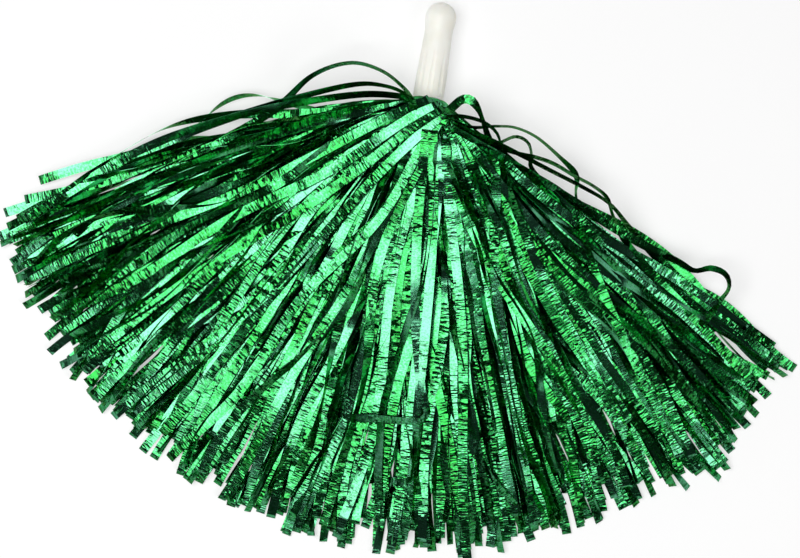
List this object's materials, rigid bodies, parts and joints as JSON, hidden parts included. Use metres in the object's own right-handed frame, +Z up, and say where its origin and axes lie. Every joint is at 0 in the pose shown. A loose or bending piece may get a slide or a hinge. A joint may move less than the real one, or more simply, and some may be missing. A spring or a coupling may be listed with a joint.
{
  "type": "cheer pom pom",
  "caption": "Cheer pom pom of slit metallic green film on a fluted stick handle, lying on its side with the fringe fanned out.",
  "frame": {"origin": "on the surface it lies on, under the middle of its outline", "axes": "+Y along the handle to its domed end, +X across the fan, +Z up"},
  "size_m": [0.5194, 0.3608, 0.0401],
  "materials": {
    "handle_plastic": "satin ivory, moulded",
    "film": "metallic green film, crinkled across",
    "tape": "white adhesive tape",
    "wire": "galvanised staple wire"
  },
  "bodies": {
    "root": {"handle_grip": "handle_plastic", "binding_tape": "tape", "header_staples": "wire", "fringe_sheet_01": "film", "fringe_sheet_02": "film", "fringe_sheet_03": "film", "fringe_sheet_04": "film", "fringe_sheet_05": "film", "fringe_sheet_06": "film", "fringe_sheet_07": "film", "fringe_sheet_08": "film", "fringe_sheet_09": "film", "fringe_sheet_10": "film", "fringe_sheet_11": "film", "fringe_sheet_12": "film"}
  },
  "joints": []
}
